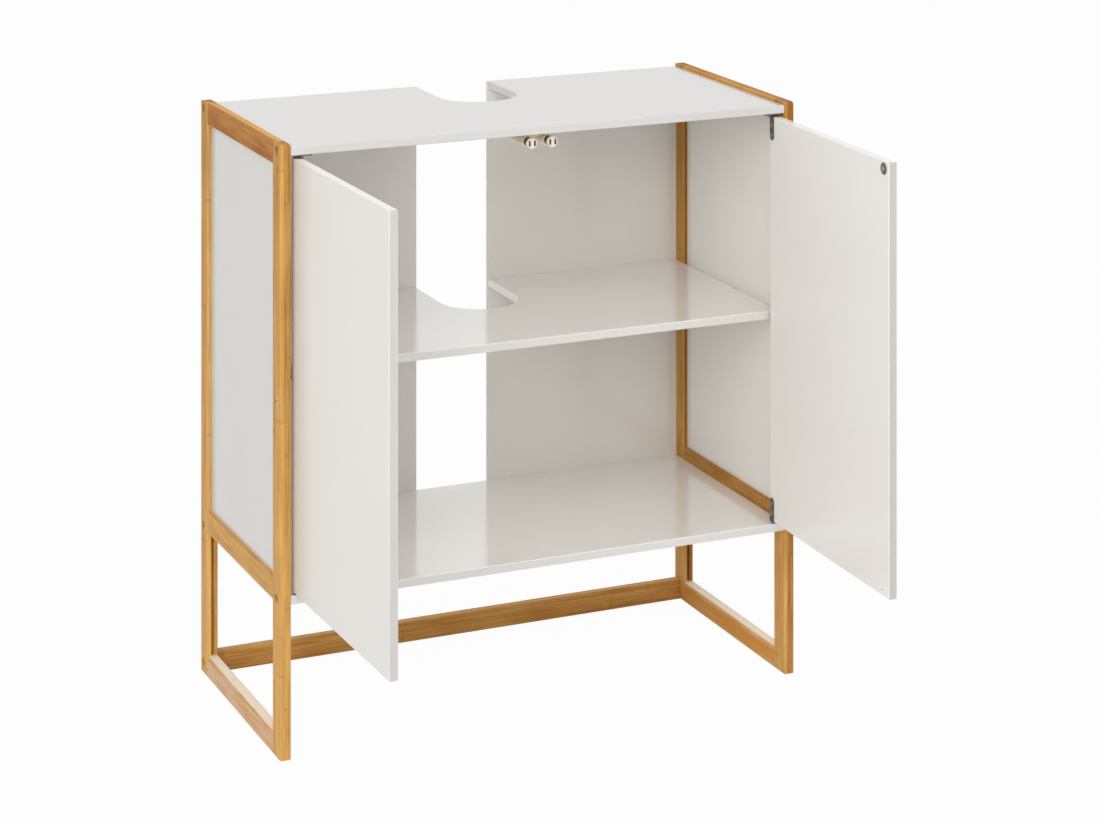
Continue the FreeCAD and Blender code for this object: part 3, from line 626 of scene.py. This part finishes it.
door_lo, door_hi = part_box("right_door")
DOOR_THICK = 9.5 * MM
LEAF_THICK = 1.0 * MM
LEAF_SCREWS_IN = 9 * MM, 20 * MM            # from the door's ends
PLATE_SCREWS_IN = 8.0 * MM, 14.5 * MM       # from the pin
for side, sign in (("left", -1), ("right", 1)):
    pivot = Vector(hinges[side + "_door_hinge"]["pos_m"])
    face_y = front_y + DOOR_THICK + LEAF_THICK
    heights = [door_hi.z - along for along in LEAF_SCREWS_IN]
    heights += [door_lo.z + along for along in LEAF_SCREWS_IN]
    piece(
        side + "_leaf_screws", side + "_door", zinc,
        [
            (pan_screw, swung(side) @ aimed((pivot.x, face_y, z), (0, 1, 0), 0.9 * k + sign))
            for k, z in enumerate(heights)
        ],
        [side + "_hinge_screws"],
    )
plate_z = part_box("left_hinge_plate")[0].z
plate_y = middle("left_hinge_plate").y
pivot_x = hinges["right_door_hinge"]["pos_m"][0]
piece(
    "plate_screws", "root", zinc,
    [
        (pan_screw, aimed((sign * (pivot_x - along), plate_y, plate_z), (0, 0, -1), 1.3 * along))
        for sign in (-1, 1)
        for along in PLATE_SCREWS_IN
    ],
    ["hinge_plate_screws"],
)
bush_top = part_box("bottom_board")[1].z
pivot_y = hinges["right_door_hinge"]["pos_m"][1]
bush = turned([
    (0, -6), (2.2, -6), (2.5, -5.6), (2.5, 0), (3.3, 0), (3.3, 0.55), (3.05, 0.8), (1.75, 0.8),
    (1.56, 0.6), (1.56, -5.4), (0, -5.4),
])
piece(
    "flanged_bushes", "root", hinge_steel,
    [(bush, Matrix.Translation((sign * pivot_x, pivot_y, bush_top))) for sign in (-1, 1)],
    ["pivot_bushes"],
)

# ---- Strike plates -----------------------------------------------------------------------
# A round steel plate on the inner face of each door, held by one countersunk screw, for the
# latch's magnet to hold.
strike_steel = plated_steel("strike_steel", colour(156, 147, 137), 0.24, 5.0)
strike = turned([
    (0, 0), (6.4, 0), (6.4, 0.55), (6.2, 0.88), (5.8, 1.0), (2.55, 1.0), (1.5, 0.2), (0, 0.2),
])
strike_screw = turned([
    (0, -6.5), (0.4, -5.9), (1.3, -4.4), (1.3, 0), (2.3, 0.95), (2.2, 1.02), (0, 1.02),
])
strike_screw = carved(strike_screw, prism(cross(3.0, 0.85), -0.1, 1.6, 0.5))
latch_z = middle("left_magnet").z
LATCH_X = 12 * MM
for side, sign in (("left", -1), ("right", 1)):
    place = swung(side) @ aimed((sign * LATCH_X, front_y + DOOR_THICK, latch_z), (0, 1, 0), 0.5)
    for name, material, shape, node in (
        ("_strike", strike_steel, strike, "_strike_plate"),
        ("_strike_fixing", bright_steel, strike_screw, "_strike_screw"),
    ):
        piece(side + name, side + "_door", material, [(shape, place)], [side + node])

# ---- Twin push latch ---------------------------------------------------------------------
# One moulded housing screwed under the top board. Two sprung plungers slide in its barrels,
# and the cap of each holds a magnet between two pole plates that show as dark slots.


def moulded(name, tone, rough, seed):
    """Moulded plastic with a fine spark-eroded texture."""
    finish = Finish(name)
    texture = finish.noise(2600.0, 2.0, 0.5)
    flow = finish.noise(90.0 + seed, 2.0, 0.5)
    shade = tuple(part * 0.9 for part in tone[:3]) + (1.0,)
    return finish.shade({
        "Base Color": finish.blended(shade, tone, flow),
        "Roughness": texture * 0.12 + rough,
        "Normal": finish.bump(texture, 0.02 * MM, 0.5),
    })


def stadium(wide, high, shift, steps=8):
    """The outline of an upright slot with round ends, off to one side."""
    radius, rise = wide / 2, high / 2 - wide / 2
    turns = [math.pi * k / steps for k in range(steps + 1)]
    top = [(radius * math.cos(turn), rise + radius * math.sin(turn)) for turn in turns]
    return [(x + shift, y) for x, y in top + [(-x, -y) for x, y in top]]


cream = moulded("cream_plastic", colour(246, 236, 222), 0.34, 1.0)
tan_plastic = moulded("housing_plastic", colour(246, 236, 206), 0.26, 2.0)
dark = moulded("dark_plastic", colour(74, 62, 42), 0.4, 3.0)
housing_lo, housing_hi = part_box("latch_housing")
under = housing_hi.z
FOOT_THICK = 2.6
SCREWS_FROM_FRONT = 31 * MM, 57 * MM
barrel = turned([
    (0, 34), (4.6, 34), (4.6, 0.4), (4.9, 0), (6.1, 0), (6.5, 0.4), (6.5, 20), (6.3, 34),
    (5.6, 36.2), (4.2, 37), (0, 37),
], 48)
foot = prism([
    (-20, 4), (-18.8, 1.2), (-16, 0), (16, 0), (18.8, 1.2), (20, 4),
    (20, 36), (18.8, 38.8), (16, 40), (-16, 40), (-18.8, 38.8), (-20, 36),
], -FOOT_THICK, 0)
rib = prism([(-2.5, 1), (2.5, 1), (2.5, 34), (-2.5, 34)], -8.0, -FOOT_THICK)
gusset = prism([(-9.5, 12), (9.5, 12), (9.5, 13.4), (-9.5, 13.4)], -9.0, -FOOT_THICK)
latch_screw = turned([
    (0, -9), (0.5, -8.2), (1.4, -6), (1.4, 0), (2.8, 0), (2.8, 0.5), (2.5, 0.95), (1.9, 1.25),
    (1.0, 1.4), (0, 1.4),
])
latch_screw = carved(latch_screw, prism(cross(3.2, 0.7), 0.4, 2.0, 0.5))
housing_place = Matrix.Translation((0, housing_lo.y, under))
piece(
    "latch_body", "root", tan_plastic,
    [(foot, housing_place)]
    + [(rib, housing_place @ Matrix.Translation((sign * LATCH_X, 0, 0))) for sign in (-1, 1)]
    + [(gusset, housing_place)]
    + [(barrel, aimed((sign * LATCH_X, housing_lo.y, latch_z), (0, 1, 0))) for sign in (-1, 1)],
    ["latch_housing"],
)
piece(
    "latch_fixings", "root", zinc,
    [
        (latch_screw, aimed((0, front_y + y, under - FOOT_THICK * MM), (0, 0, -1), y * 300))
        for y in SCREWS_FROM_FRONT
    ],
    ["latch_screws"],
)

stem = turned([
    (0, 4.5), (4.5, 4.5), (4.5, 9.2), (4.15, 9.4), (4.15, 10.4), (4.5, 10.6), (4.5, 34.4),
    (3.9, 35), (0, 35),
])
cap = turned([
    (0, 0), (5.1, 0), (5.6, 0.15), (5.9, 0.5), (6.0, 1.0), (6.0, 4.1), (5.8, 4.5), (0, 4.5),
], 48)
SLOT_OFF = 3.0
CAP_FROM_FRONT = 11 * MM
cap = carved(cap, *[prism(stadium(2.4, 6.4, shift), -1, 3.2) for shift in (-SLOT_OFF, SLOT_OFF)])
pair_of_poles = [prism(stadium(2.2, 6.2, shift), 0.35, 3.1) for shift in (-SLOT_OFF, SLOT_OFF)]
pole_steel = plated_steel("pole_steel", colour(104, 94, 84), 0.34, 7.0)
for side, sign in (("left", -1), ("right", 1)):
    body = side + "_plunger"
    cap_face = Matrix.Translation((sign * LATCH_X, front_y + CAP_FROM_FRONT, latch_z))
    to_face = cap_face @ Matrix.Rotation(-math.pi / 2, 4, "X")
    piece(side + "_stem", body, dark, [(stem, to_face)], [side + "_plunger"])
    piece(side + "_cap", body, cream, [(cap, to_face)], [side + "_plunger_head"])
    poles = [(shape, to_face) for shape in pair_of_poles]
    piece(side + "_poles", body, pole_steel, poles, [side + "_pole_plates"])

ferrite = moulded("ferrite", colour(44, 42, 42), 0.5, 4.0)
dress(ferrite, "left_magnet", "right_magnet")

# ---- Latch springs -----------------------------------------------------------------------
# Compression springs of 0.9 mm wire between each plunger and the blind end of its bore.
# In the real latch they shorten as the plunger is pushed in; here each keeps its rest length.
WIRE_R, COIL_R, SPRING_TURNS = 0.45, 3.6, 5.5
spring_steel = plated_steel("spring_steel", colour(158, 156, 152), 0.2, 6.0)
spring_lo, spring_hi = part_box("right_latch_spring")


def coil(length):
    """A round-wire helix up Z, with closed ends."""
    steps, section = 150, 10
    upward = Vector((0, 0, 1))
    round_wire = [2 * math.pi * j / section for j in range(section)]
    work = bmesh.new()
    rings = []
    for k in range(steps + 1):
        share = k / steps
        turn = 2 * math.pi * SPRING_TURNS * share
        height = (length - 2 * WIRE_R) * (share * share * (3 - 2 * share)) + WIRE_R
        out = Vector((math.cos(turn), math.sin(turn), 0))
        centre = out * COIL_R + Vector((0, 0, height))
        rings.append([
            work.verts.new((centre + (out * math.cos(a) + upward * math.sin(a)) * WIRE_R) * MM)
            for a in round_wire
        ])
    for low, high in zip(rings, rings[1:]):
        for j in range(section):
            work.faces.new([low[j], low[(j + 1) % section], high[(j + 1) % section], high[j]])
    work.faces.new(rings[0][::-1])
    work.faces.new(rings[-1])
    return closed(work, "coil")


for side, sign in (("left", -1), ("right", 1)):
    start = Vector((sign * LATCH_X, spring_lo.y, latch_z))
    made = piece(
        side + "_spring", "root", spring_steel,
        [(coil((spring_hi.y - spring_lo.y) / MM), aimed(start, (0, 1, 0)))],
        [side + "_latch_spring"],
    )
    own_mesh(made)

# ---- Camera ------------------------------------------------------------------------------
# A long lens from the front left, a little above the top board. The film stands upright and
# off the line of sight, as with a shift lens, so the stand carries the offset of the view.
VIEW_TURN = 0.4334892
EYE = Vector((-1.2879343, -3.0772307, 1.2664645))
FIT_FRONT = front_y                         # the frames' front plane, which the eye is given from
FRAME_WIDE = 1100                           # pixels, as the focal length and the shifts are
FOCAL, SHIFT_RIGHT, SHIFT_UP = 3087.434, 111.1719, -869.4440
right = Vector((math.cos(VIEW_TURN), -math.sin(VIEW_TURN), 0))
up = Vector((0, 0, 1))
ahead = Vector((math.sin(VIEW_TURN), math.cos(VIEW_TURN), 0))
sight = ahead - right * (SHIFT_RIGHT / FOCAL) + up * (SHIFT_UP / FOCAL)
stretch = sight.length
back = -sight / stretch
skew = Matrix((
    (right.x, up.x, back.x, EYE.x),
    (right.y, up.y, back.y, EYE.y + FIT_FRONT),
    (right.z, up.z, back.z, EYE.z),
    (0, 0, 0, 1),
))
lens = bpy.data.cameras.new("camera")
lens.sensor_width = 36
lens.lens = lens.sensor_width * FOCAL * stretch / FRAME_WIDE
lens.clip_start, lens.clip_end = 0.05, 100
camera = bpy.data.objects.new("camera", lens)
camera_stand = bpy.data.objects.new("camera_stand", None)
for part in (camera, camera_stand):
    bpy.context.scene.collection.objects.link(part)
camera.parent = camera_stand
camera.matrix_parent_inverse = skew
bpy.context.scene.camera = camera

# ---- Floor, world and lamps --------------------------------------------------------------
# A white studio: a pale floor that keeps a faint shadow, even surroundings, a large soft lamp
# from the front left, one beside the camera, one high in front and a weak one from behind.
FLOOR_SHADOW = 0.04
WHITE_OUT = (1, 1, 1, 1)


def seen(finish):
    """1 where the camera sees it, straight, mirrored or through glass, and 0 for its light."""
    rays = ("Is Camera Ray", "Is Glossy Ray", "Is Transmission Ray")
    straight, mirrored, through_glass = finish.node("LightPath", {}, {}, rays)
    return (straight + mirrored + through_glass).held()


ground = bpy.data.meshes.new("floor")
ground.from_pydata([(-30, -30, 0), (30, -30, 0), (30, 30, 0), (-30, 30, 0)], [], [(0, 1, 2, 3)])
floor = bpy.data.objects.new("floor", ground)
floor.location.z = -0.05 * MM
bpy.context.scene.collection.objects.link(floor)
paint = Finish("studio_floor")
matt = paint.node("BsdfDiffuse", {}, {"Color": (0.86, 0.86, 0.86, 1)})
glow = paint.node("Emission", {}, {"Color": WHITE_OUT, "Strength": 1.0})
mixed = paint.node("MixShader", {}, {0: seen(paint) * (1 - FLOOR_SHADOW), 1: matt, 2: glow})
paint.node("OutputMaterial", {}, {"Surface": mixed}, ())
ground.materials.append(paint.owner)

SURROUNDINGS = 0.58
studio = Finish("studio", "worlds")
plain = studio.node("Background", {}, {"Color": (1.0, 0.99, 0.975, 1), "Strength": SURROUNDINGS})
white = studio.node("Background", {}, {"Color": WHITE_OUT, "Strength": 1.0})
shown = studio.node("MixShader", {}, {0: seen(studio), 1: plain, 2: white})
studio.node("OutputWorld", {}, {"Surface": shown}, ())
bpy.context.scene.world = studio.owner

LAMP_TONE = (1.0, 0.985, 0.965)
AIM = Vector((0, 0, 0.35))
for name, place, size, power in (
    ("key", (-2.4, -2.6, 2.2), 2.2, 39),
    ("beside_camera", (-1.3, -3.4, 1.7), 1.6, 23),
    ("overhead", (0, -2.2, 3.0), 2.2, 20),
    ("behind", (0.6, 3.0, 1.9), 2.2, 9),
):
    light = bpy.data.lights.new(name, "AREA")
    light.size, light.energy, light.color = size, power, LAMP_TONE
    lamp = bpy.data.objects.new(name, light)
    lamp.matrix_world = aimed(Vector(place), Vector(place) - AIM)
    lamp.visible_camera = lamp.visible_glossy = False
    bpy.context.scene.collection.objects.link(lamp)

bpy.context.scene.view_settings.view_transform = "Standard"
